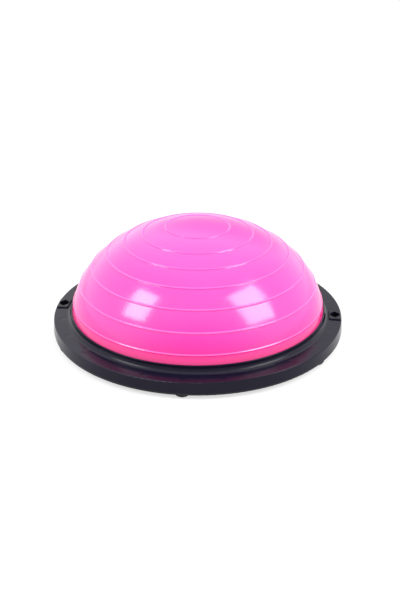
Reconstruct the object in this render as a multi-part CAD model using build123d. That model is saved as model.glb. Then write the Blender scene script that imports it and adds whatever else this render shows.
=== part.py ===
"""Balance dome trainer: an inflated half ball clamped to a round platform on six rubber feet.

Millimetres, +Z up. The origin is on the floor, under the centre of the dome. The +X axis runs
through one of the two strap anchors.
"""

import os
from math import acos, asin, atan, degrees, sqrt

from build123d import *

# Platform
RIM_RADIUS = 290.0  # widest radius of the clamp ring, at its lower edge
RIM_DRAFT = 1.6  # how much the side skirt leans in over its height
FOOT_HEIGHT = 8.0  # platform underside above the floor
PLATE_THICKNESS = 3.5
PLATE_INSET = 0.6  # the plate's edge stands back from the skirt by this much
SKIRT_TOP = 33.2  # top outer edge of the ring, above the floor
SKIRT_THICKNESS = 3.6
LAND_RISE = 0.9  # the flat land climbs this much from the edge to the collar's wall
COLLAR_RADIUS = 254.2  # outside of the upright wall round the dome
COLLAR_TOP = 47.9
COVE_RADIUS = 9.0  # hollow curve between the land and the wall

# Dome, half of an ellipse turned about Z
DOME_RADIUS = 253.5
DOME_RISE = 197.0
DOME_CENTRE = 23.0  # height of the ellipse's centre above the floor
DOME_WALL = 3.0
CROWN_RADIUS = 3.0  # small flat left by the mould at the very top
RIB_RADII = (62.5, 107.3, 143.6, 178.1, 208.7, 232.7, 247.7)
RIB_HEIGHT = 1.3
RIB_WIDTH = 3.6

# Bladder lip and the seat that it is clamped in
LIP_TOP = 30.0
LIP_BOTTOM = 26.0
LIP_INNER_RADIUS = 244.0
LIP_OUTER_RADIUS = 261.0
BEAD_INNER_RADIUS = 256.5
BEAD_BOTTOM = 22.8
GAP = 0.3  # clearance between curved faces that lie side by side

# Strap anchors
ANCHOR_RADIUS = 275.0
ANCHOR_LENGTH = 38.0  # along the rim
ANCHOR_WIDTH = 24.0  # across the rim
ANCHOR_TOP = 36.3
ANCHOR_FLANGE = 4.0
ANCHOR_BEVEL = 1.2
ANCHOR_STEM_LENGTH = 34.0  # the part of the socket that passes through the land
ANCHOR_STEM_WIDTH = 21.6
ANCHOR_STEM_BOTTOM = 27.2
BAYONET_RADIUS = 9.8
BAYONET_SPAN = 25.4  # across the two notches
NOTCH_WIDTH = 8.0
PAD_BOTTOM = 27.0  # underside of the thickened land around an anchor
PAD_LENGTH = 44.0
PAD_WIDTH = 20.4
STRIP_INNER = 12.8  # nearest that a clamp strip comes to the bayonet hole's centre
STRIP_WIDTH = 18.4
STRIP_THICKNESS = 2.4
ANCHOR_SCREW_X = 6.6
ANCHOR_SCREW_Y = 15.2

# Feet and screws
FOOT_COUNT = 6
FOOT_CENTRE_RADIUS = 274.2
FOOT_TOP_RADIUS = 15.0
FOOT_BOTTOM_RADIUS = 8.6
FOOT_WAIST_RADIUS = 13.0  # where the foot's rounded side turns up
FOOT_WAIST = 3.0
FOOT_BORE_RADIUS = 5.2  # counterbore for the screw's head
FOOT_BORE_ROOF = 5.5
SPIGOT_RADIUS = 6.0
SPIGOT_TOP = 10.5
SPIGOT_FIT = 0.1
WASHER_RADIUS = 4.9
WASHER_THICKNESS = 1.2
BOSS_SPLIT = 15.0  # height where the plate's bosses meet the ring's
BOSS_STEP = 1.5  # the ring's bosses are this much thinner than the plate's
FOOT_BOSS_RADIUS = 7.5
RING_BOSS_RADIUS = 7.0
RING_SCREW_CIRCLE = 270.5
RING_SCREW_OFFSET = 15.5  # degrees from a foot to the screw at each side of it

# Hand grips under the platform
GRIP_RADIUS = 225.0
GRIP_WIDTH = 36.0
GRIP_HALF_ANGLE = 14.0
GRIP_ROOF = 23.5
WALL = 2.5
SPOKE_COUNT = 24
HOOP_RADII = (95.0, 168.0)
RIB_THICKNESS = 2.5
TREAD_RADII = [48.0 + 14.0 * index for index in range(11)]
TREAD_WIDTH = 3.0
TREAD_HEIGHT = 0.8

# Valve
RECESS_RADIUS = 30.0
RECESS_ROOF = 21.0
SOCKET_TOP = 36.0
SOCKET_RADIUS = 12.0
SOCKET_FLANGE = 10.0  # how far the welding flange stands out round the socket
SOCKET_WALL = 3.0
SOCKET_SHEET = 1.6  # thickness of the welding flange
VALVE_BORE_RADIUS = 4.8
PLUG_CLEARANCE = 0.05
PLUG_HEAD_RADIUS = 11.0
PLUG_HEAD_BOTTOM = 18.4
PLUG_TAB_BOTTOM = 15.5
PLUG_TAB_LENGTH = 14.0
PLUG_TAB_WIDTH = 4.0

PLATE_TOP = FOOT_HEIGHT + PLATE_THICKNESS
FOOT_ANGLES = [-90.0 + 360.0 / FOOT_COUNT * index for index in range(FOOT_COUNT)]
RING_SCREW_ANGLES = [
    angle + side * RING_SCREW_OFFSET for angle in FOOT_ANGLES for side in (-1, 1)
]
ANCHOR_ANGLES = {"right": 0.0, "left": 180.0}


def half_section(outline):
    """Flat face with radius along X and height along Y, from (radius, height, rounding) corners."""
    points = [(radius, height) for radius, height, _ in outline]
    rounds = [rounding for _, _, rounding in outline]
    return make_face(FilletPolyline(*points, radius=rounds, close=True).edges())


def turned(outline):
    """Body of revolution about Z from the same kind of corners."""
    return revolve(Plane.XZ * half_section(outline), Axis.Z)


def tube(radius, bottom, top, hole=0.0):
    """Upright round bar, with a hole through it if one is given."""
    profile = Circle(radius) - Circle(hole) if hole else Circle(radius)
    return extrude(Pos(0, 0, bottom) * profile, top - bottom)


def at(angle, radius, shape):
    """A shape moved out from the axis and swung round it."""
    return Rot(0, 0, angle) * Pos(radius, 0, 0) * shape


class Screw:
    """Pan-head self-tapping screw that goes in from below."""

    def __init__(self, radius, head_radius, head_height, seat, tip):
        self.radius = radius
        self.head_radius = head_radius
        self.head_height = head_height
        self.seat = seat  # height of the face under the head
        self.tip = tip
        self.pilot = radius + 0.05
        self.clearance = radius + 0.3

    def body(self):
        """The screw, with a cross recess in its head."""
        bottom = self.seat - self.head_height
        screw = turned(
            [
                (0, bottom, 0),
                (self.head_radius, bottom, self.head_height * 0.5),
                (self.head_radius, self.seat, 0),
                (self.radius, self.seat, 0),
                (self.radius, self.tip - self.radius, 0),
                (self.radius * 0.3, self.tip, 0),
                (0, self.tip, 0),
            ]
        )
        arm = Box(self.head_radius * 1.2, self.head_radius * 0.28, self.head_height * 0.5)
        arm = Pos(0, 0, bottom + self.head_height * 0.25) * arm
        return screw - arm - Rot(0, 0, 90) * arm


RING_SCREW = Screw(radius=1.9, head_radius=3.8, head_height=2.6, seat=12.5, tip=27.0)
FOOT_SCREW = Screw(
    radius=2.2, head_radius=4.2, head_height=2.4, seat=FOOT_BORE_ROOF - WASHER_THICKNESS, tip=27.0
)
ANCHOR_SCREW = Screw(
    radius=1.25, head_radius=2.3, head_height=1.8, seat=PAD_BOTTOM - STRIP_THICKNESS, tip=32.0
)


def dome_radius(height):
    """Radius of the dome's skin at a height."""
    share = (height - DOME_CENTRE) / DOME_RISE
    return DOME_RADIUS * sqrt(1 - share * share)


def dome_height(radius):
    """Height of the dome's skin at a radius."""
    share = radius / DOME_RADIUS
    return DOME_CENTRE + DOME_RISE * sqrt(1 - share * share)


def dome_arc(inset, base):
    """Arc of the skin or its inner face, from a height up to the flat spot on the crown."""
    rise = DOME_RISE - inset
    radius = DOME_RADIUS - inset
    start = degrees(asin((base - DOME_CENTRE) / rise))
    end = degrees(acos(CROWN_RADIUS / radius))
    return EllipticalCenterArc((0, DOME_CENTRE), radius, rise, start, arc_size=end - start)


def dome_section():
    """Half section of the skin and floor, with radius along X and height along Y."""
    floor_top = LIP_BOTTOM + DOME_WALL
    stem_hole = SOCKET_RADIUS + GAP
    outer = dome_arc(0, LIP_BOTTOM)
    inner = dome_arc(DOME_WALL, floor_top)
    crown = Polyline(outer @ 1, (0, (outer @ 1).Y), (0, (inner @ 1).Y), inner @ 1)
    floor = Polyline(inner @ 0, (stem_hole, floor_top), (stem_hole, LIP_BOTTOM), outer @ 0)
    return make_face([outer, inner, *crown.edges(), *floor.edges()])


def rib_section(radius):
    """Ellipse that lies along the skin, half sunk in it."""
    height = dome_height(radius)
    slope = -(DOME_RISE ** 2) * radius / (DOME_RADIUS ** 2 * (height - DOME_CENTRE))
    lean = degrees(atan(slope))
    return Pos(radius, height) * Rot(0, 0, lean) * Ellipse(RIB_WIDTH / 2, RIB_HEIGHT)


def lip_section():
    """Flat lip around the foot of the dome, with a bead under its outer edge."""
    return half_section(
        [
            (LIP_INNER_RADIUS, LIP_BOTTOM, 0),
            (BEAD_INNER_RADIUS, LIP_BOTTOM, 0),
            (BEAD_INNER_RADIUS, BEAD_BOTTOM, 1.0),
            (LIP_OUTER_RADIUS, BEAD_BOTTOM, 1.5),
            (LIP_OUTER_RADIUS, LIP_TOP, 1.0),
            (LIP_INNER_RADIUS, LIP_TOP, 0),
        ]
    )


def dome_bladder():
    """Closed PVC half ball with raised rings, a flat floor and a beaded lip."""
    ribs = [rib_section(radius) for radius in RIB_RADII]
    return revolve(Plane.XZ * (dome_section() + lip_section() + ribs), Axis.Z)


def valve_socket():
    """Stem with a welding flange on the bladder's floor, open at both ends."""
    floor_top = LIP_BOTTOM + DOME_WALL
    return turned(
        [
            (VALVE_BORE_RADIUS, RECESS_ROOF, 0),
            (SOCKET_RADIUS, RECESS_ROOF, 1.0),
            (SOCKET_RADIUS, floor_top, 0),
            (SOCKET_RADIUS + SOCKET_FLANGE, floor_top, 0),
            (SOCKET_RADIUS + SOCKET_FLANGE, floor_top + SOCKET_SHEET, 0.6),
            (VALVE_BORE_RADIUS + SOCKET_WALL, floor_top + SOCKET_SHEET, 0),
            (VALVE_BORE_RADIUS + SOCKET_WALL, SOCKET_TOP, 0.6),
            (VALVE_BORE_RADIUS, SOCKET_TOP, 0),
        ]
    )


def air_plug():
    """Stopper with a round head and a rounded pull tab under it."""
    shank_radius = VALVE_BORE_RADIUS - PLUG_CLEARANCE
    head_top = RECESS_ROOF - 0.2
    stopper = turned(
        [
            (0, PLUG_HEAD_BOTTOM, 0),
            (PLUG_HEAD_RADIUS, PLUG_HEAD_BOTTOM, 0.9),
            (PLUG_HEAD_RADIUS, head_top, 0.6),
            (shank_radius, head_top, 0),
            (shank_radius, SOCKET_TOP - 1, 0.8),
            (0, SOCKET_TOP - 1, 0),
        ]
    )
    outline = SlotOverall(PLUG_TAB_LENGTH, PLUG_TAB_WIDTH)
    tab = extrude(Pos(0, 0, PLUG_TAB_BOTTOM) * outline, PLUG_HEAD_BOTTOM - PLUG_TAB_BOTTOM + 0.5)
    return stopper + tab


def boss_places():
    """Angle, circle, screw and lower boss radius of every screw between plate and ring."""
    feet = [(angle, FOOT_CENTRE_RADIUS, FOOT_SCREW, FOOT_BOSS_RADIUS) for angle in FOOT_ANGLES]
    ring = [(angle, RING_SCREW_CIRCLE, RING_SCREW, RING_BOSS_RADIUS) for angle in RING_SCREW_ANGLES]
    return feet + ring


def ring_shell():
    """Clamp ring's turned body: skirt, land and collar."""
    skirt_top_radius = RIM_RADIUS - RIM_DRAFT
    return turned(
        [
            (RIM_RADIUS - SKIRT_THICKNESS, PLATE_TOP, 0),
            (RIM_RADIUS, PLATE_TOP, 0.8),
            (skirt_top_radius, SKIRT_TOP, 1.2),
            (COLLAR_RADIUS, SKIRT_TOP + LAND_RISE, COVE_RADIUS),
            (COLLAR_RADIUS, COLLAR_TOP, 1.0),
            (dome_radius(COLLAR_TOP) + GAP, COLLAR_TOP, 0.5),
            (dome_radius(LIP_TOP) + GAP, LIP_TOP, 0),
            (skirt_top_radius - SKIRT_THICKNESS, LIP_TOP, 1.5),
        ]
    )


def anchor_pocket():
    """What is cut from the ring for one anchor socket: the flange's seat and a window."""
    seat = RectangleRounded(ANCHOR_WIDTH + GAP, ANCHOR_LENGTH + GAP, 3.1)
    window = RectangleRounded(ANCHOR_STEM_WIDTH + GAP, ANCHOR_STEM_LENGTH + GAP, 2.1)
    cut = extrude(Pos(0, 0, ANCHOR_TOP - ANCHOR_FLANGE) * seat, 10)
    return cut + extrude(Pos(0, 0, PAD_BOTTOM - 1) * window, 10)


def clamp_ring():
    """Ring that clamps the bladder's lip to the plate and carries the anchors."""
    pad_height = LIP_TOP + 1 - PAD_BOTTOM
    pad = Pos(0, 0, PAD_BOTTOM + pad_height / 2) * Box(PAD_WIDTH, PAD_LENGTH, pad_height)
    added = [at(angle, ANCHOR_RADIUS, pad) for angle in ANCHOR_ANGLES.values()]
    cut = [at(angle, ANCHOR_RADIUS, anchor_pocket()) for angle in ANCHOR_ANGLES.values()]
    for angle, circle, screw, boss in boss_places():
        added.append(at(angle, circle, tube(boss - BOSS_STEP, BOSS_SPLIT, LIP_TOP + 1)))
        cut.append(at(angle, circle, tube(screw.pilot, BOSS_SPLIT, LIP_TOP)))
    return ring_shell() + added - cut


def grip_block(width, top):
    """Solid that fills one curved hand grip, up to a height."""
    middle = CenterArc((0, 0), GRIP_RADIUS, -GRIP_HALF_ANGLE, 2 * GRIP_HALF_ANGLE)
    return extrude(Pos(0, 0, FOOT_HEIGHT) * SlotArc(middle, width), top - FOOT_HEIGHT)


def plate_shell():
    """Base plate's turned body: deck, valve recess, and the seat for the lip and bead."""
    bead_wall = BEAD_INNER_RADIUS - GAP
    groove_floor = BEAD_BOTTOM - GAP
    groove_wall = LIP_OUTER_RADIUS + GAP
    return turned(
        [
            (SOCKET_RADIUS + GAP, RECESS_ROOF, 0),
            (SOCKET_RADIUS + GAP, RECESS_ROOF + WALL, 0),
            (RECESS_RADIUS + WALL, RECESS_ROOF + WALL, 0),
            (RECESS_RADIUS + WALL, PLATE_TOP, 1.0),
            (bead_wall - WALL, PLATE_TOP, 1.0),
            (bead_wall - WALL, LIP_BOTTOM, 0),
            (bead_wall, LIP_BOTTOM, 0.5),
            (bead_wall, groove_floor, 0),
            (groove_wall, groove_floor, 0),
            (groove_wall, LIP_TOP - GAP, 0),
            (groove_wall + WALL, LIP_TOP - GAP, 0),
            (groove_wall + WALL, PLATE_TOP, 0),
            (RIM_RADIUS - PLATE_INSET, PLATE_TOP, 0),
            (RIM_RADIUS - PLATE_INSET, FOOT_HEIGHT, 1.2),
            (RECESS_RADIUS, FOOT_HEIGHT, 1.2),
            (RECESS_RADIUS, RECESS_ROOF, 1.0),
        ]
    )


def plate_ribs():
    """Stiffening ribs that carry the bladder's floor: spokes and two hoops."""
    height = LIP_BOTTOM - PLATE_TOP + 1
    inner = RECESS_RADIUS + 1
    outer = BEAD_INNER_RADIUS - 2
    spoke = Pos((outer + inner) / 2, 0, LIP_BOTTOM - height / 2)
    spoke = spoke * Box(outer - inner, RIB_THICKNESS, height)
    step = 360 / SPOKE_COUNT
    hoops = [
        tube(radius + RIB_THICKNESS, PLATE_TOP - 1, LIP_BOTTOM, radius) for radius in HOOP_RADII
    ]
    return [Rot(0, 0, step * (index + 0.5)) * spoke for index in range(SPOKE_COUNT)] + hoops


def tread_rings():
    """Low concentric ridges under the platform, for the grip of a foot or a hand."""
    bottom = FOOT_HEIGHT - TREAD_HEIGHT
    return [tube(radius + TREAD_WIDTH, bottom, FOOT_HEIGHT + 1, radius) for radius in TREAD_RADII]


def base_plate():
    """Ribbed platform with hand grips, a valve recess and bosses for all the screws."""
    added = plate_ribs() + tread_rings()
    cut = []
    for angle in ANCHOR_ANGLES.values():
        added.append(Rot(0, 0, angle) * grip_block(GRIP_WIDTH + 2 * WALL, LIP_BOTTOM))
        cut.append(Rot(0, 0, angle) * grip_block(GRIP_WIDTH, GRIP_ROOF))
    for angle, circle, screw, boss in boss_places():
        added.append(at(angle, circle, tube(boss, PLATE_TOP - 1, BOSS_SPLIT)))
        cut.append(at(angle, circle, tube(screw.clearance, FOOT_HEIGHT, BOSS_SPLIT)))
    spigot_hole = tube(SPIGOT_RADIUS + SPIGOT_FIT, FOOT_HEIGHT, SPIGOT_TOP)
    cut += [at(angle, FOOT_CENTRE_RADIUS, spigot_hole) for angle in FOOT_ANGLES]
    counterbore = tube(RING_SCREW.head_radius + 0.5, FOOT_HEIGHT, RING_SCREW.seat)
    cut += [at(angle, RING_SCREW_CIRCLE, counterbore) for angle in RING_SCREW_ANGLES]
    return plate_shell() + added - cut


def bayonet_outline():
    """Round hole with a notch at each side along the rim."""
    return Circle(BAYONET_RADIUS) + SlotOverall(BAYONET_SPAN, NOTCH_WIDTH, rotation=90)


def anchor_screw_places():
    """Places of the four screws of one anchor, from the bayonet hole's centre."""
    along = (-ANCHOR_SCREW_Y, ANCHOR_SCREW_Y)
    return [Pos(x, y, 0) for x in (-ANCHOR_SCREW_X, ANCHOR_SCREW_X) for y in along]


def anchor_socket():
    """Flanged block with a bayonet hole for the T-shaped end of a strap."""
    flange_bottom = ANCHOR_TOP - ANCHOR_FLANGE
    flange = extrude(
        Pos(0, 0, flange_bottom) * RectangleRounded(ANCHOR_WIDTH, ANCHOR_LENGTH, 3), ANCHOR_FLANGE
    )
    flange = chamfer(flange.faces().sort_by(Axis.Z)[-1].edges(), ANCHOR_BEVEL)
    stem = RectangleRounded(ANCHOR_STEM_WIDTH, ANCHOR_STEM_LENGTH, 2)
    stem_height = flange_bottom - ANCHOR_STEM_BOTTOM + 0.5
    socket = flange + extrude(Pos(0, 0, ANCHOR_STEM_BOTTOM) * stem, stem_height)
    depth = ANCHOR_TOP - ANCHOR_STEM_BOTTOM
    socket -= extrude(Pos(0, 0, ANCHOR_STEM_BOTTOM) * bayonet_outline(), depth)
    for place in anchor_screw_places():
        socket -= place * tube(ANCHOR_SCREW.pilot, ANCHOR_STEM_BOTTOM, flange_bottom + 0.4)
    return socket


def anchor_strip(side):
    """Flat strip that clamps one end of an anchor socket from below."""
    outer = PAD_LENGTH / 2
    strip = Box(STRIP_WIDTH, outer - STRIP_INNER, STRIP_THICKNESS)
    place = Pos(0, side * (outer + STRIP_INNER) / 2, PAD_BOTTOM - STRIP_THICKNESS / 2)
    strip = place * fillet(strip.edges().filter_by(Axis.Z), 1.5)
    for x in (-ANCHOR_SCREW_X, ANCHOR_SCREW_X):
        strip -= Pos(x, side * ANCHOR_SCREW_Y, 0) * tube(ANCHOR_SCREW.clearance, BOSS_SPLIT, SKIRT_TOP)
    return strip


def rubber_foot():
    """Round tapered foot with a spigot on top and a counterbore for its screw."""
    return turned(
        [
            (FOOT_SCREW.clearance, FOOT_BORE_ROOF, 0),
            (FOOT_BORE_RADIUS, FOOT_BORE_ROOF, 0),
            (FOOT_BORE_RADIUS, 0, 0.5),
            (FOOT_BOTTOM_RADIUS, 0, 1.5),
            (FOOT_WAIST_RADIUS, FOOT_WAIST, 4.0),
            (FOOT_TOP_RADIUS, FOOT_HEIGHT - 1.2, 0.8),
            (FOOT_TOP_RADIUS, FOOT_HEIGHT, 0),
            (SPIGOT_RADIUS, FOOT_HEIGHT, 0),
            (SPIGOT_RADIUS, SPIGOT_TOP, 0.5),
            (FOOT_SCREW.clearance, SPIGOT_TOP, 0),
        ]
    )


def around(angles, radius, shape):
    """Copies of a shape spread round the axis, as one group of separate solids."""
    return Compound([at(angle, radius, shape) for angle in angles])


def anchor_screw_group():
    """The eight screws that hold the two anchor sockets to their clamp strips."""
    screws = [place * ANCHOR_SCREW.body() for place in anchor_screw_places()]
    sides = ANCHOR_ANGLES.values()
    return Compound([at(angle, ANCHOR_RADIUS, screw) for angle in sides for screw in screws])


def nodes():
    """Every sub-part, by name."""
    washer = tube(WASHER_RADIUS, FOOT_SCREW.seat, FOOT_BORE_ROOF, FOOT_SCREW.clearance)
    parts = {
        "dome_bladder": dome_bladder(),
        "valve_socket": valve_socket(),
        "air_plug": air_plug(),
        "clamp_ring": clamp_ring(),
        "base_plate": base_plate(),
        "foot_washers": around(FOOT_ANGLES, FOOT_CENTRE_RADIUS, washer),
        "foot_screws": around(FOOT_ANGLES, FOOT_CENTRE_RADIUS, FOOT_SCREW.body()),
        "ring_screws": around(RING_SCREW_ANGLES, RING_SCREW_CIRCLE, RING_SCREW.body()),
        "anchor_screws": anchor_screw_group(),
    }
    for name, angle in ANCHOR_ANGLES.items():
        parts[f"anchor_socket_{name}"] = at(angle, ANCHOR_RADIUS, anchor_socket())
        for number, side in ((1, -1), (2, 1)):
            parts[f"anchor_strip_{name}_{number}"] = at(angle, ANCHOR_RADIUS, anchor_strip(side))
    for number, angle in enumerate(FOOT_ANGLES, 1):
        parts[f"rubber_foot_{number}"] = at(angle, FOOT_CENTRE_RADIUS, rubber_foot())
    return parts


os.makedirs("parts", exist_ok=True)
for node, shape in nodes().items():
    export_step(shape, f"parts/{node}.step")
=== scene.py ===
"""Balance dome trainer: materials, skin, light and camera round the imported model.

Metres, +Z up. The origin is on the floor under the dome's centre, and +X runs through the right
strap anchor.
"""

from math import acos, cos, hypot, pi, radians, sin, sqrt

import bpy
from mathutils import Euler, Matrix, Vector, noise


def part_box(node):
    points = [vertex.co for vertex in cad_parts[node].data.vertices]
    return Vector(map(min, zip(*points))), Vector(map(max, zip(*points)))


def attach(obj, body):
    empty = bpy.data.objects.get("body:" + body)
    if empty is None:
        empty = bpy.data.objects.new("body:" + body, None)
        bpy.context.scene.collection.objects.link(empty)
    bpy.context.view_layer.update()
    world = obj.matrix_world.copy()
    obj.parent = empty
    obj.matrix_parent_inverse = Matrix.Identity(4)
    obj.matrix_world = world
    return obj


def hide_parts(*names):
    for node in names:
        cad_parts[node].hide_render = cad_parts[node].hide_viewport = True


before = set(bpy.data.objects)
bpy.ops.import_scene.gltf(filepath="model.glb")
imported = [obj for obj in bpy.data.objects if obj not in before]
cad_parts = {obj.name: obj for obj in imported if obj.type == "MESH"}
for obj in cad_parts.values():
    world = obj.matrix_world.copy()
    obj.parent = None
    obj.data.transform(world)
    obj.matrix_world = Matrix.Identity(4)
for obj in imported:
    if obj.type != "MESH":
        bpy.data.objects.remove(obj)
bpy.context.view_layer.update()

# Bladder's lip and bead, worked out from its CAD box
bladder_low, bladder_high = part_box("dome_bladder")
LIP_RADIUS = bladder_high.x
BEAD_BOTTOM = bladder_low.z
BEAD_INNER = LIP_RADIUS - 0.0045
LIP_TOP = BEAD_BOTTOM + 0.0072
LIP_BOTTOM = BEAD_BOTTOM + 0.0032
EDGE_ROUND = 0.001  # rounding of the lip's upper edge and the bead's inner edge
EDGE_MIDDLE = 0.0003  # how far in from both faces the middle of that rounding lies
BEAD_ROUND = 0.0015  # rounding of the bead's lower outer edge
BEAD_MIDDLE = 0.0004
STEM_HOLE = 0.0123  # radius of the hole round the valve socket

# Bladder's skin, half of an ellipse turned about Z
CROWN_TOP = bladder_high.z
SKIN_RADIUS = LIP_RADIUS - 0.0075
SKIN_CENTRE = BEAD_BOTTOM + 0.0002  # height of the ellipse's centre
SKIN_RISE = CROWN_TOP - SKIN_CENTRE
SKIN_WALL = 0.003
SKIN_LAP = 0.0002  # how far the lip's top face runs in under the skin
SKIN_STEP = 0.02  # radians between two points of the outline
INNER_STEPS = 40
SKIN_SEGMENTS = 384
SECTION_BULGE = 0.0002  # how far each band between two ribs swells out
WAVE_HEIGHT = 0.00018
WAVE_LENGTH = 0.075
WAVE_START = Vector((3.1, 7.7, 1.3))  # place in the noise that the waves are read from
WAVE_FADE = (0.01, 0.04)  # the waves grow from nothing to full between these heights above the lip

# Raised rings of the skin
RIB_RADII = (0.0625, 0.1073, 0.1436, 0.1781, 0.2087, 0.2327, 0.2477)
RIB_HEIGHT = 0.0013
RIB_HALF_WIDTH = 0.0022
RIB_POWER = 1.5  # above one, a rib's flanks run out softly into the skin
RIB_STEP = 0.25 * RIB_HALF_WIDTH  # between two points of the outline across a rib
RIB_STEPS = 6  # points from a rib's middle to just past its foot
RIB_CLEAR = 1.6 * RIB_HALF_WIDTH  # the skin's own points keep this far from a rib's middle
# painted highlight along each rib's upper flank, where light from above catches it
RIB_HIGHLIGHT_SHIFT = 0.0008  # from the rib's middle towards the crown
RIB_HIGHLIGHT_REACH = 0.0019
RIB_HIGHLIGHT_CORE = 0.3 * RIB_HIGHLIGHT_REACH  # the painted highlight line is at its brightest this far to both sides
RIB_HIGHLIGHT_SHARE = 0.32  # of the painted highlight pink in a rib's line

# Colours of the skin
PINK = (0.93, 0.019, 0.270)
PINK_CLOUD = (0.96, 0.022, 0.285)
PINK_SPECK = (0.90, 0.017, 0.255)
# painted shade: the pink darkens down by the lip, where the clamp ring shades the skin
PINK_LIP_SHADE = (0.36, 0.005, 0.092)
# painted highlight pink for the rib lines
PINK_RIB_HIGHLIGHT = (0.97, 0.13, 0.46)
LIP_SHADE_FADE = (0.012, 0.090)  # the painted shade by the lip thins out between these heights above the lip
LIP_SHADE_POWER = 3.8

# Sink marks in the clamp ring's top face
FIRST_FOOT = -90.0  # degrees
FOOT_STEP = 60.0
SCREW_OFFSET = 15.5  # degrees from a foot to the ring screws beside it
BOSS_CIRCLE = 0.2715
DIP_LENGTH = 1.1  # degrees along the rim in which a mark falls off
DIP_WIDTH = 0.0075
DIP_DEPTH = 0.00045

# Studio
FLOOR_HALF = 12.0
FLOOR_GLOW = 0.64
SOFTBOX_AIM = Vector((0.0, -0.155, 0.164))  # near the dome's front, between the two highlights
SOFTBOX_DISTANCE = 2.0
ROOM_LIGHT = 1.75
ROOM_PATCHES = (  # azimuth, elevation, reach in degrees, share of the light in the middle
    (-84.0, -12.0, 76.0, 0.35),
    (88.0, 17.0, 28.0, 0.52),
    (92.0, 62.0, 45.0, 1.3),
)

# Camera
CAMERA_PLACE = (0.1673, -1.6463, 0.8529)
CAMERA_TURN = (64.261, 0.0, 5.65)
CAMERA_LENS = 54.67
SENSOR_WIDTH = 36.0


# Meshes -------------------------------------------------------------------------------------


def mesh_piece(name, vertices, faces, material, node, body="trainer"):
    """New smooth piece that stands for a CAD node and rides on its body."""
    mesh = bpy.data.meshes.new(name)
    mesh.from_pydata(vertices, [], faces)
    mesh.validate()
    mesh.polygons.foreach_set("use_smooth", [True] * len(mesh.polygons))
    mesh.materials.append(material)
    piece = bpy.data.objects.new(name, mesh)
    bpy.context.scene.collection.objects.link(piece)
    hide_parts(node)
    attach(piece, body)
    return piece


def lathe(outline, segments):
    """Vertices and faces of an outline of (radius, height) points turned about Z.

    The outline runs from axis to axis, and each of its two end points becomes one vertex.
    """
    inner = outline[1:-1]
    vertices = [(0.0, 0.0, outline[0][1])]
    for radius, height in inner:
        for step in range(segments):
            turn = 2 * pi * step / segments
            vertices.append((radius * cos(turn), radius * sin(turn), height))
    vertices.append((0.0, 0.0, outline[-1][1]))
    last = len(vertices) - 1
    faces = []
    for step in range(segments):
        after = (step + 1) % segments
        faces.append((0, 1 + step, 1 + after))
        for row in range(len(inner) - 1):
            here = 1 + row * segments
            below = here + segments
            faces.append((here + step, below + step, below + after, here + after))
        bottom = 1 + (len(inner) - 1) * segments
        faces.append((bottom + step, last, bottom + after))
    return vertices, faces


def skin_speed(angle):
    """Length of skin to the radian, at an ellipse angle."""
    return hypot(SKIN_RADIUS * sin(angle), SKIN_RISE * cos(angle))


def skin_point(radius, lift):
    """Point of the skin at a radius, moved out along its normal."""
    share = min(radius / SKIN_RADIUS, 1.0)
    height = SKIN_RISE * sqrt(1 - share * share)
    slope = Vector((radius / SKIN_RADIUS ** 2, height / SKIN_RISE ** 2)).normalized()
    return radius + slope.x * lift, SKIN_CENTRE + height + slope.y * lift


def skin_lift(angle, rib_angles):
    """Height of ribs and of the swell between them, at an ellipse angle in radians."""
    lift = 0.0
    edges = [pi / 2, *rib_angles, 0.0]
    for start, end in zip(edges, edges[1:]):
        if end <= angle <= start:
            share = (angle - end) / (start - end)
            lift = SECTION_BULGE * sin(pi * share)
    for rib in rib_angles:
        away = abs(angle - rib) * skin_speed(angle) / RIB_HALF_WIDTH
        if away < 1:
            lift += RIB_HEIGHT * cos(away * pi / 2) ** RIB_POWER
    return lift


def skin_outline():
    """Half section of the bladder: ribbed skin, lip, bead, floor and the inner face."""
    rib_angles = [acos(radius / SKIN_RADIUS) for radius in RIB_RADII]
    lip_angle = (LIP_TOP - SKIN_CENTRE) / SKIN_RISE
    stops = {pi / 2 - SKIN_STEP * step for step in range(1, int(pi / 2 / SKIN_STEP) + 1)}
    for rib in rib_angles:
        speed = skin_speed(rib)
        stops = {stop for stop in stops if abs(stop - rib) * speed > RIB_CLEAR}
        for step in range(RIB_STEPS):
            turn = step * RIB_STEP / speed
            stops.update((rib - turn, rib + turn))
    outer = []
    for angle in sorted((stop for stop in stops if stop > lip_angle), reverse=True):
        outer.append(skin_point(SKIN_RADIUS * cos(angle), skin_lift(angle, rib_angles)))
    lip = [
        (SKIN_RADIUS - SKIN_LAP, LIP_TOP),
        (LIP_RADIUS - EDGE_ROUND, LIP_TOP),
        (LIP_RADIUS - EDGE_MIDDLE, LIP_TOP - EDGE_MIDDLE),
        (LIP_RADIUS, LIP_TOP - EDGE_ROUND),
        (LIP_RADIUS, BEAD_BOTTOM + BEAD_ROUND),
        (LIP_RADIUS - BEAD_MIDDLE, BEAD_BOTTOM + BEAD_MIDDLE),
        (LIP_RADIUS - BEAD_ROUND, BEAD_BOTTOM),
        (BEAD_INNER + EDGE_ROUND, BEAD_BOTTOM),
        (BEAD_INNER, BEAD_BOTTOM + EDGE_ROUND),
        (BEAD_INNER, LIP_BOTTOM),
        (STEM_HOLE, LIP_BOTTOM),
        (STEM_HOLE, LIP_BOTTOM + SKIN_WALL),
    ]
    inner = []
    for step in range(INNER_STEPS):
        angle = pi / 2 * step / INNER_STEPS
        radius = (SKIN_RADIUS - SKIN_WALL) * cos(angle)
        height = SKIN_CENTRE + (SKIN_RISE - SKIN_WALL) * sin(angle)
        if height > LIP_BOTTOM + SKIN_WALL:
            inner.append((radius, height))
    crown = (0.0, CROWN_TOP)
    crown_inside = (0.0, CROWN_TOP - SKIN_WALL)
    return [crown, *outer, *lip, *inner, crown_inside]


def ripple(point):
    """Slow unevenness of the blown skin, the same in every run."""
    return WAVE_HEIGHT * noise.noise(point / WAVE_LENGTH + WAVE_START)


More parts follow.
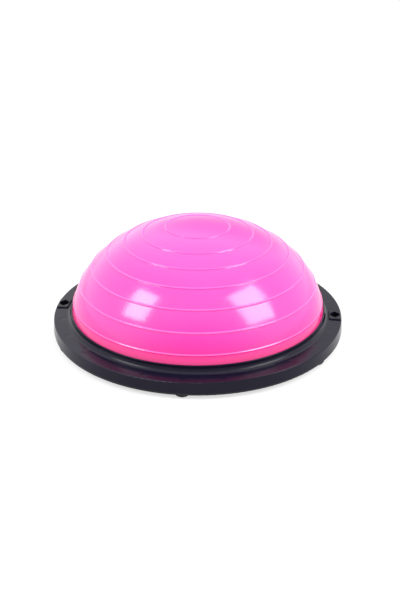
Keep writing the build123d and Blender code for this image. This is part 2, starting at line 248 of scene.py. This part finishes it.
def dome_skin(material):
    """The bladder's skin, with its slow waves, in place of the CAD bladder."""
    vertices, faces = lathe(skin_outline(), SKIN_SEGMENTS)
    centre = Vector((0, 0, SKIN_CENTRE))
    fade_start, fade_end = WAVE_FADE
    moved = []
    for vertex in vertices:
        point = Vector(vertex)
        outward = (point - centre).normalized()
        share = (point.z - LIP_TOP - fade_start) / (fade_end - fade_start)
        moved.append(point + outward * ripple(point) * min(max(share, 0.0), 1.0))
    piece = mesh_piece("dome_skin", moved, faces, material, "dome_bladder")


# Materials ----------------------------------------------------------------------------------


class Shader:
    """A material's node tree, with short calls for the nodes that these materials share."""

    def __init__(self, name, **values):
        self.material = bpy.data.materials.new(name)
        self.material.use_nodes = True
        self.tree = self.material.node_tree
        self.surface = self.tree.nodes["Principled BSDF"]
        self.place = self.node("ShaderNodeTexCoord").outputs["Object"]
        for socket, value in values.items():
            self.surface.inputs[socket.replace("_", " ")].default_value = value

    def node(self, kind, **settings):
        made = self.tree.nodes.new(kind)
        for setting, value in settings.items():
            setattr(made, setting, value)
        return made

    def link(self, source, target):
        self.tree.links.new(source, target)

    def axes(self):
        """X, Y and Z of the place on the object."""
        apart = self.node("ShaderNodeSeparateXYZ")
        self.link(self.place, apart.inputs[0])
        return [apart.outputs[axis] for axis in "XYZ"]

    def noise(self, scale, detail=3.0, stretch=None):
        """Noise value from 0 to 1, with scale in waves to the metre."""
        made = self.node("ShaderNodeTexNoise")
        made.inputs["Scale"].default_value = scale
        made.inputs["Detail"].default_value = detail
        place = self.place
        if stretch:
            mapping = self.node("ShaderNodeMapping")
            mapping.inputs["Scale"].default_value = stretch
            self.link(place, mapping.inputs["Vector"])
            place = mapping.outputs["Vector"]
        self.link(place, made.inputs["Vector"])
        return made.outputs["Fac"]

    def math(self, operation, first, second=None):
        made = self.node("ShaderNodeMath", operation=operation)
        for socket, value in zip(made.inputs, (first, second)):
            if isinstance(value, (int, float)):
                socket.default_value = value
            elif value is not None:
                self.link(value, socket)
        return made.outputs[0]

    def length(self, first, second):
        """Length of the vector that has these two parts."""
        squares = [self.math("POWER", part, 2.0) for part in (first, second)]
        return self.math("SQRT", self.math("ADD", *squares))

    def spread(self, value, low, high, start=0.3, end=0.7):
        """A value from start to end brought to the range from low to high.

        Without a start and an end it is taken for a noise, which mostly lies between 0.3 and 0.7.
        """
        made = self.node("ShaderNodeMapRange")
        self.link(value, made.inputs["Value"])
        ends = {"From Min": start, "From Max": end, "To Min": low, "To Max": high}
        for socket, number in ends.items():
            made.inputs[socket].default_value = number
        return made.outputs["Result"]

    def blend(self, factor, first, second):
        """Colour between two, each given as red, green and blue or as a socket."""
        made = self.node("ShaderNodeMix", data_type="RGBA")
        self.link(factor, made.inputs["Factor"])
        colours = [socket for socket in made.inputs if socket.type == "RGBA"]
        for socket, colour in zip(colours, (first, second)):
            if isinstance(colour, tuple):
                socket.default_value = (*colour, 1.0)
            else:
                self.link(colour, socket)
        return next(socket for socket in made.outputs if socket.type == "RGBA")

    def colour(self, source):
        self.link(source, self.surface.inputs["Base Color"])

    def rough(self, source):
        self.link(source, self.surface.inputs["Roughness"])

    def bump(self, *layers):
        """Stacks bumps, each a height source and the height in metres of its full range."""
        normal = None
        for height, distance in layers:
            made = self.node("ShaderNodeBump")
            made.inputs["Distance"].default_value = distance
            self.link(height, made.inputs["Height"])
            if normal:
                self.link(normal, made.inputs["Normal"])
            normal = made.outputs["Normal"]
        self.link(normal, self.surface.inputs["Normal"])


def rib_highlights(shader, x, y, z):
    """Painted highlight mask: one along the upper flank of each rib, fading to nothing within a short
    reach.
    """
    out = shader.math("DIVIDE", shader.length(x, y), SKIN_RADIUS)
    climb = shader.math("DIVIDE", shader.math("SUBTRACT", z, SKIN_CENTRE), SKIN_RISE)
    angle = shader.math("ARCTAN2", climb, out)
    nearest = 1.0
    for radius in RIB_RADII:
        rib = acos(radius / SKIN_RADIUS)
        speed = skin_speed(rib)
        away = shader.math("ABSOLUTE", shader.math("SUBTRACT", angle, rib + RIB_HIGHLIGHT_SHIFT / speed))
        nearest = shader.math("MINIMUM", nearest, shader.math("MULTIPLY", away, speed))
    return shader.spread(nearest, 1.0, 0.0, start=RIB_HIGHLIGHT_CORE, end=RIB_HIGHLIGHT_REACH)


def soft_pvc():
    """Glossy pink PVC, with painted shade down by the lip and painted highlights along the ribs.

    The painted highlight lines stand in for thin reflections. Mottling, orange peel and smudges are
    faint.
    """
    shader = Shader("soft_pvc", Specular_IOR_Level=0.68)
    x, y, z = shader.axes()
    fade_start, fade_end = LIP_SHADE_FADE
    low = shader.spread(z, 1.0, 0.0, start=LIP_TOP + fade_start, end=LIP_TOP + fade_end)
    # painted shade down by the lip, strongest at the very bottom
    lip_shade = shader.math("POWER", low, LIP_SHADE_POWER)
    cloud = shader.spread(shader.noise(9.0, 4.0), 0.0, 1.0)
    speck = shader.spread(shader.noise(420.0, 2.0), 0.0, 0.35)
    base = shader.blend(cloud, PINK, PINK_CLOUD)
    base = shader.blend(speck, base, PINK_SPECK)
    base = shader.blend(lip_shade, base, PINK_LIP_SHADE)
    # painted highlights along the ribs' upper flanks
    rib_highlight = shader.math("MULTIPLY", rib_highlights(shader, x, y, z), RIB_HIGHLIGHT_SHARE)
    shader.colour(shader.blend(rib_highlight, base, PINK_RIB_HIGHLIGHT))
    shader.rough(shader.spread(shader.noise(34.0, 5.0), 0.13, 0.19))
    shader.bump((shader.noise(640.0, 2.0), 0.00002), (shader.noise(95.0, 2.0), 0.00006))
    return shader.material


def boss_dips(shader):
    """One over the ring's top face, falling to nothing in the sink marks over feet and screw bosses."""
    x, y, _ = shader.axes()
    angle = shader.math("MULTIPLY", shader.math("ARCTAN2", y, x), 180 / pi)
    from_first_foot = shader.math("ADD", angle, 360.0 - FIRST_FOOT)
    to_foot = shader.math("PINGPONG", from_first_foot, FOOT_STEP / 2)
    to_screw = shader.math("ABSOLUTE", shader.math("SUBTRACT", to_foot, SCREW_OFFSET))
    along = shader.math("DIVIDE", shader.math("MINIMUM", to_foot, to_screw), DIP_LENGTH)
    outward = shader.math("SUBTRACT", shader.length(x, y), BOSS_CIRCLE)
    across = shader.math("DIVIDE", outward, DIP_WIDTH)
    squares = [shader.math("POWER", part, 2.0) for part in (along, across)]
    bell = shader.math("EXPONENT", shader.math("MULTIPLY", shader.math("ADD", *squares), -1.0))
    return shader.math("SUBTRACT", 1.0, bell)


def moulded_black():
    """Satin black moulded plastic of the clamp ring."""
    shader = Shader("moulded_black", Specular_IOR_Level=0.16)
    cloud = shader.spread(shader.noise(14.0, 4.0), 0.0, 1.0)
    shader.colour(shader.blend(cloud, (0.0040, 0.0031, 0.0105), (0.0050, 0.0040, 0.0122)))
    shader.rough(shader.spread(shader.noise(60.0, 6.0), 0.17, 0.23))
    shader.bump(
        (shader.noise(1500.0, 2.0), 0.000012),
        (shader.noise(55.0, 2.0), 0.00003),
        (boss_dips(shader), DIP_DEPTH),
    )
    return shader.material


def grained_black():
    """Black plastic of the platform, with a moulded-in grain."""
    shader = Shader("grained_black", Specular_IOR_Level=0.3)
    cloud = shader.spread(shader.noise(11.0, 4.0), 0.0, 1.0)
    shader.colour(shader.blend(cloud, (0.0085, 0.0080, 0.0110), (0.0120, 0.0115, 0.0150)))
    shader.rough(shader.spread(shader.noise(80.0, 5.0), 0.46, 0.60))
    grain = shader.node("ShaderNodeTexVoronoi", feature="SMOOTH_F1")
    grain.inputs["Scale"].default_value = 900.0
    shader.link(shader.place, grain.inputs["Vector"])
    shader.bump((grain.outputs["Distance"], 0.00008), (shader.noise(2400.0, 2.0), 0.00003))
    return shader.material


def filled_nylon():
    """Black glass-filled nylon of the anchor sockets, with faint short fibres."""
    shader = Shader("filled_nylon", Specular_IOR_Level=0.17)
    fibres = shader.noise(900.0, 2.0, stretch=(1.0, 0.16, 1.0))
    cloud = shader.spread(fibres, 0.0, 1.0)
    shader.colour(shader.blend(cloud, (0.0042, 0.0034, 0.0102), (0.0072, 0.0062, 0.0130)))
    shader.rough(shader.spread(shader.noise(140.0, 4.0), 0.24, 0.36))
    shader.bump((fibres, 0.00003))
    return shader.material


def foot_rubber():
    """Matt rubber that has picked up a little dust towards the floor."""
    shader = Shader("foot_rubber", Specular_IOR_Level=0.25)
    low = shader.spread(shader.axes()[2], 1.0, 0.0, start=0.0, end=0.006)
    dust = shader.math("MULTIPLY", low, shader.spread(shader.noise(260.0, 5.0), 0.1, 0.8))
    shader.colour(shader.blend(dust, (0.010, 0.010, 0.013), (0.050, 0.047, 0.045)))
    shader.rough(shader.spread(shader.noise(120.0, 4.0), 0.62, 0.82))
    shader.bump((shader.noise(1100.0, 3.0), 0.00005))
    return shader.material


def zinc_steel():
    """Zinc plating: bright, a little blue and yellow in patches."""
    shader = Shader("zinc_steel", Metallic=1.0)
    tint = shader.spread(shader.noise(180.0, 4.0), 0.0, 1.0)
    shader.colour(shader.blend(tint, (0.56, 0.57, 0.60), (0.66, 0.63, 0.54)))
    shader.rough(shader.spread(shader.noise(420.0, 4.0), 0.22, 0.42))
    shader.bump((shader.noise(2600.0, 2.0), 0.00001))
    return shader.material


def coated_steel():
    """Black powder coat over steel strip."""
    shader = Shader("coated_steel", Specular_IOR_Level=0.5)
    cloud = shader.spread(shader.noise(90.0, 3.0), 0.0, 1.0)
    shader.colour(shader.blend(cloud, (0.012, 0.012, 0.013), (0.020, 0.020, 0.022)))
    shader.rough(shader.spread(shader.noise(300.0, 3.0), 0.36, 0.50))
    shader.bump((shader.noise(1300.0, 2.0), 0.00004))
    return shader.material


def white_plastic():
    """Smooth white plastic of the air plug, with faint flow marks."""
    shader = Shader("white_plastic", Specular_IOR_Level=0.5)
    flow = shader.spread(shader.noise(120.0, 4.0, stretch=(1.0, 3.0, 1.0)), 0.0, 1.0)
    shader.colour(shader.blend(flow, (0.78, 0.78, 0.77), (0.84, 0.84, 0.84)))
    shader.rough(shader.spread(shader.noise(200.0, 3.0), 0.22, 0.34))
    shader.bump((shader.noise(900.0, 2.0), 0.00002))
    return shader.material


def moulded_pink():
    """Firmer pink PVC of the valve socket."""
    shader = Shader("moulded_pink", Specular_IOR_Level=0.5)
    cloud = shader.spread(shader.noise(60.0, 3.0), 0.0, 1.0)
    shader.colour(shader.blend(cloud, (0.78, 0.020, 0.22), (0.84, 0.026, 0.26)))
    shader.rough(shader.spread(shader.noise(150.0, 3.0), 0.2, 0.3))
    shader.bump((shader.noise(700.0, 2.0), 0.00003))
    return shader.material


def pale_floor():
    """Pale studio table that glows a little, as if lit from below, so that shadows stay light."""
    white = (1.0, 1.0, 1.0, 1.0)
    glow = {"Emission_Color": white, "Emission_Strength": FLOOR_GLOW}
    shader = Shader("pale_floor", Specular_IOR_Level=0.1, **glow)
    cloud = shader.spread(shader.noise(1.3, 2.0), 0.0, 1.0)
    shader.colour(shader.blend(cloud, (0.22, 0.22, 0.22), (0.24, 0.24, 0.24)))
    shader.rough(shader.spread(shader.noise(3.0, 2.0), 0.7, 0.8))
    return shader.material


def finish_cad_nodes():
    """Gives every CAD node that stays its own material."""
    zinc = zinc_steel()
    by_start = {
        "clamp_ring": moulded_black(),
        "base_plate": grained_black(),
        "anchor_socket": filled_nylon(),
        "anchor_strip": coated_steel(),
        "anchor_screws": zinc,
        "rubber_foot": foot_rubber(),
        "foot_washers": zinc,
        "foot_screws": zinc,
        "ring_screws": zinc,
        "valve_socket": moulded_pink(),
        "air_plug": white_plastic(),
    }
    for name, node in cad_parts.items():
        for start, material in by_start.items():
            if name.startswith(start):
                for slot in node.material_slots:
                    slot.material = material


# Stage, light and camera --------------------------------------------------------------------


def floor():
    """Square floor round the origin."""
    signs = ((-1, -1), (1, -1), (1, 1), (-1, 1))
    corners = [(x * FLOOR_HALF, y * FLOOR_HALF, 0) for x, y in signs]
    mesh = bpy.data.meshes.new("floor")
    mesh.from_pydata(corners, [], [(0, 1, 2, 3)])
    mesh.materials.append(pale_floor())
    piece = bpy.data.objects.new("floor", mesh)
    bpy.context.scene.collection.objects.link(piece)


def direction(azimuth, elevation):
    """Unit vector towards an azimuth and an elevation in degrees."""
    turn, climb = radians(azimuth), radians(elevation)
    return Vector((cos(climb) * cos(turn), cos(climb) * sin(turn), sin(climb)))


def softbox(name, azimuth, elevation, roll, size, radiance):
    """Rectangular light that faces the dome, with its width turned by roll from level."""
    towards = direction(azimuth, elevation)
    level = Vector((0, 0, 1)).cross(towards).normalized()
    upward = towards.cross(level)
    across = level * cos(radians(roll)) + upward * sin(radians(roll))
    along = towards.cross(across)
    lamp = bpy.data.lights.new(name, "AREA")
    lamp.shape = "RECTANGLE"
    lamp.size, lamp.size_y = size
    lamp.energy = radiance * pi * size[0] * size[1]
    thing = bpy.data.objects.new(name, lamp)
    facing = Matrix((across, along, towards)).transposed().to_4x4()
    thing.matrix_world = Matrix.Translation(SOFTBOX_AIM + towards * SOFTBOX_DISTANCE) @ facing
    bpy.context.scene.collection.objects.link(thing)


def studio_world():
    """White room with darker and brighter patches, such as the dark camera side low down."""
    world = bpy.data.worlds.new("studio")
    bpy.context.scene.world = world
    world.use_nodes = True
    tree = world.node_tree
    background = tree.nodes["Background"]
    background.inputs["Color"].default_value = (1.0, 1.0, 1.0, 1.0)
    place = tree.nodes.new("ShaderNodeTexCoord")
    total = None  # the first patch multiplies ROOM_LIGHT, and each later one the total so far
    for azimuth, elevation, reach, share in ROOM_PATCHES:
        facing = tree.nodes.new("ShaderNodeVectorMath")
        facing.operation = "DOT_PRODUCT"
        facing.inputs[1].default_value = direction(azimuth, elevation)
        tree.links.new(place.outputs["Generated"], facing.inputs[0])
        shade = tree.nodes.new("ShaderNodeMapRange")
        shade.interpolation_type = "SMOOTHSTEP"
        shade.inputs["From Min"].default_value = cos(radians(reach))
        shade.inputs["From Max"].default_value = 1.0
        shade.inputs["To Min"].default_value = 1.0
        shade.inputs["To Max"].default_value = share
        tree.links.new(facing.outputs["Value"], shade.inputs["Value"])
        product = tree.nodes.new("ShaderNodeMath")
        product.operation = "MULTIPLY"
        product.inputs[1].default_value = ROOM_LIGHT
        tree.links.new(shade.outputs["Result"], product.inputs[0])
        if total:
            tree.links.new(total, product.inputs[1])
        total = product.outputs["Value"]
    tree.links.new(total, background.inputs["Strength"])


def light():
    """White room and two softboxes, one at each side and a little to the front."""
    studio_world()
    softbox("softbox_left", azimuth=-156.2, elevation=39.7, roll=-73.0, size=(1.08, 0.77), radiance=8.5)
    softbox("softbox_right", azimuth=-13.7, elevation=40.7, roll=-15.1, size=(0.99, 1.38), radiance=7.5)


def camera():
    """Camera at the photograph's viewing angle."""
    lens = bpy.data.cameras.new("camera")
    lens.lens = CAMERA_LENS
    lens.sensor_width = SENSOR_WIDTH
    thing = bpy.data.objects.new("camera", lens)
    thing.location = CAMERA_PLACE
    thing.rotation_euler = Euler([radians(turn) for turn in CAMERA_TURN])
    bpy.context.scene.collection.objects.link(thing)
    bpy.context.scene.camera = thing
    bpy.context.scene.view_settings.view_transform = "Standard"


camera()
light()
floor()
finish_cad_nodes()
dome_skin(soft_pvc())
